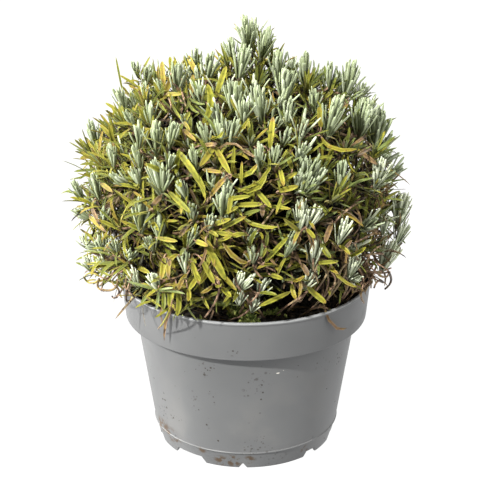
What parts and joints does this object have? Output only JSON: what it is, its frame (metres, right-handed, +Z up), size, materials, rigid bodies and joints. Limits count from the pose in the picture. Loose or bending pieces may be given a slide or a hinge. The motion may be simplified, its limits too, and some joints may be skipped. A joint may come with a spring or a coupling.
{
  "type": "potted lavender",
  "caption": "Low mounded lavender bush with silver and yellowing leafy shoots, rooted in a tapered round grower's pot.",
  "frame": {"origin": "on the ground, under the middle of the whole outline; the pot's own axis stands 5.8 mm towards +X and 2.9 mm towards -Y from it", "axes": "+Z up along the pot's axis, -Y towards the viewer of the picture, +X to that viewer's right"},
  "size_m": [0.2576, 0.2468, 0.3216],
  "materials": {
    "pot_plastic": "moulded grey, fine satin, a little dirt",
    "potting_compost": "moist crumbly compost with moss",
    "woody_stem": "dull fibrous bark",
    "silver_foliage": "matt, finely felted",
    "yellow_foliage": "satin, smooth",
    "dry_foliage": "dry, papery"
  },
  "bodies": {
    "root": {"pot": "pot_plastic", "soil": "potting_compost", "woody_crown": "woody_stem", "silver_shoot_01": "silver_foliage", "silver_shoot_02": "silver_foliage", "silver_shoot_03": "silver_foliage", "silver_shoot_04": "silver_foliage", "silver_shoot_05": "silver_foliage", "silver_shoot_06": "silver_foliage", "silver_shoot_07": "silver_foliage", "silver_shoot_08": "silver_foliage", "silver_shoot_09": "silver_foliage", "silver_shoot_10": "silver_foliage", "silver_shoot_11": "silver_foliage", "silver_shoot_12": "silver_foliage", "silver_shoot_13": "silver_foliage", "silver_shoot_14": "silver_foliage", "silver_shoot_15": "silver_foliage", "silver_shoot_16": "silver_foliage", "silver_shoot_17": "silver_foliage", "silver_shoot_18": "silver_foliage", "silver_shoot_19": "silver_foliage", "silver_shoot_20": "silver_foliage", "silver_shoot_21": "silver_foliage", "silver_shoot_22": "silver_foliage", "silver_shoot_23": "silver_foliage", "silver_shoot_24": "silver_foliage", "silver_shoot_25": "silver_foliage", "silver_shoot_26": "silver_foliage", "silver_shoot_27": "silver_foliage", "silver_shoot_28": "silver_foliage", "silver_shoot_29": "silver_foliage", "silver_shoot_30": "silver_foliage", "yellow_shoot_01": "yellow_foliage", "yellow_shoot_02": "yellow_foliage", "yellow_shoot_03": "yellow_foliage", "yellow_shoot_04": "yellow_foliage", "yellow_shoot_05": "yellow_foliage", "yellow_shoot_06": "yellow_foliage", "yellow_shoot_07": "yellow_foliage", "yellow_shoot_08": "yellow_foliage", "yellow_shoot_09": "yellow_foliage", "yellow_shoot_10": "yellow_foliage", "yellow_shoot_11": "yellow_foliage", "dry_shoot_01": "dry_foliage", "dry_shoot_02": "dry_foliage", "dry_shoot_03": "dry_foliage"}
  },
  "joints": []
}
